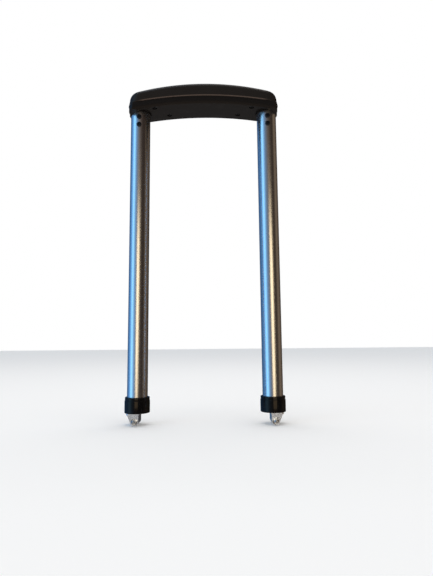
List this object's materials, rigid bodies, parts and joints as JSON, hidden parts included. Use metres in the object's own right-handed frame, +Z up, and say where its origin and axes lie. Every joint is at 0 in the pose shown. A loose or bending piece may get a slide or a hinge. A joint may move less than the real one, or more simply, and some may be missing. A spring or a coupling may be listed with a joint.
{
  "type": "telescopic pull handle stage",
  "caption": "Hoop of two round tubes under a bowed two-shell grip, with slider collars and button-released spring lock pins at the tube feet.",
  "frame": {"origin": "midway between the two tube axes, on the plane of the collars' lower faces", "axes": "+X from the left tube to the right tube, +Y from the screw side to the back, +Z up the tubes to the grip"},
  "size_m": [0.1564, 0.036, 0.3447],
  "materials": {
    "polished_tube": "bright anodised, drawn along its length",
    "grip_plastic": "fine moulded grain",
    "button_plastic": "fine moulded grain",
    "collar_plastic": "smooth glossy moulding",
    "inner_plastic": "plain moulding",
    "pale_plastic": "natural acetal",
    "black_screw": "black oxide",
    "zinc_casting": "bright die casting",
    "bright_steel": "ground and nickel plated",
    "steel_pin": "zinc plated",
    "spring_steel": "spring wire"
  },
  "bodies": {
    "frame": {"left_tube": "polished_tube", "right_tube": "polished_tube", "grip_top_shell": "grip_plastic", "grip_bottom_shell": "grip_plastic", "shell_screws": "black_screw", "left_tube_block": "inner_plastic", "left_tube_screws": "black_screw", "left_rod_guide": "pale_plastic", "left_collar": "collar_plastic", "left_lock_housing": "zinc_casting", "left_housing_rivets": "steel_pin", "right_tube_block": "inner_plastic", "right_tube_screws": "black_screw", "right_rod_guide": "pale_plastic", "right_collar": "collar_plastic", "right_lock_housing": "zinc_casting", "right_housing_rivets": "steel_pin", "left_return_spring": "spring_steel", "left_lock_spring": "spring_steel", "right_return_spring": "spring_steel", "right_lock_spring": "spring_steel"},
    "release": {"release_button": "button_plastic", "release_yoke": "inner_plastic", "left_push_rod": "steel_pin", "left_rod_clips": "spring_steel", "left_wedge": "zinc_casting", "left_wedge_pin": "steel_pin", "right_push_rod": "steel_pin", "right_rod_clips": "spring_steel", "right_wedge": "zinc_casting", "right_wedge_pin": "steel_pin"},
    "left_pin": {"left_lock_pin": "bright_steel"},
    "right_pin": {"right_lock_pin": "bright_steel"}
  },
  "joints": [
    {"name": "button_press", "type": "slide", "parent": "frame", "child": "release", "axis": [0, 0, -1], "range_m": [0, 0.005], "stiffness_N_per_m": 700, "springref_m": -0.005, "deforming": ["left_return_spring", "right_return_spring"]},
    {"name": "left_pin_slide", "type": "slide", "parent": "frame", "child": "left_pin", "axis": [0, 1, 0], "range_m": [0, 0.0025], "stiffness_N_per_m": 300, "springref_m": -0.0025, "deforming": ["left_lock_spring"]},
    {"name": "right_pin_slide", "type": "slide", "parent": "frame", "child": "right_pin", "axis": [0, 1, 0], "range_m": [0, 0.0025], "stiffness_N_per_m": 300, "springref_m": -0.0025, "deforming": ["right_lock_spring"]}
  ],
  "couplings": [
    {"joint": "left_pin_slide", "follows": "button_press", "ratio": 0.5},
    {"joint": "right_pin_slide", "follows": "button_press", "ratio": 0.5}
  ]
}
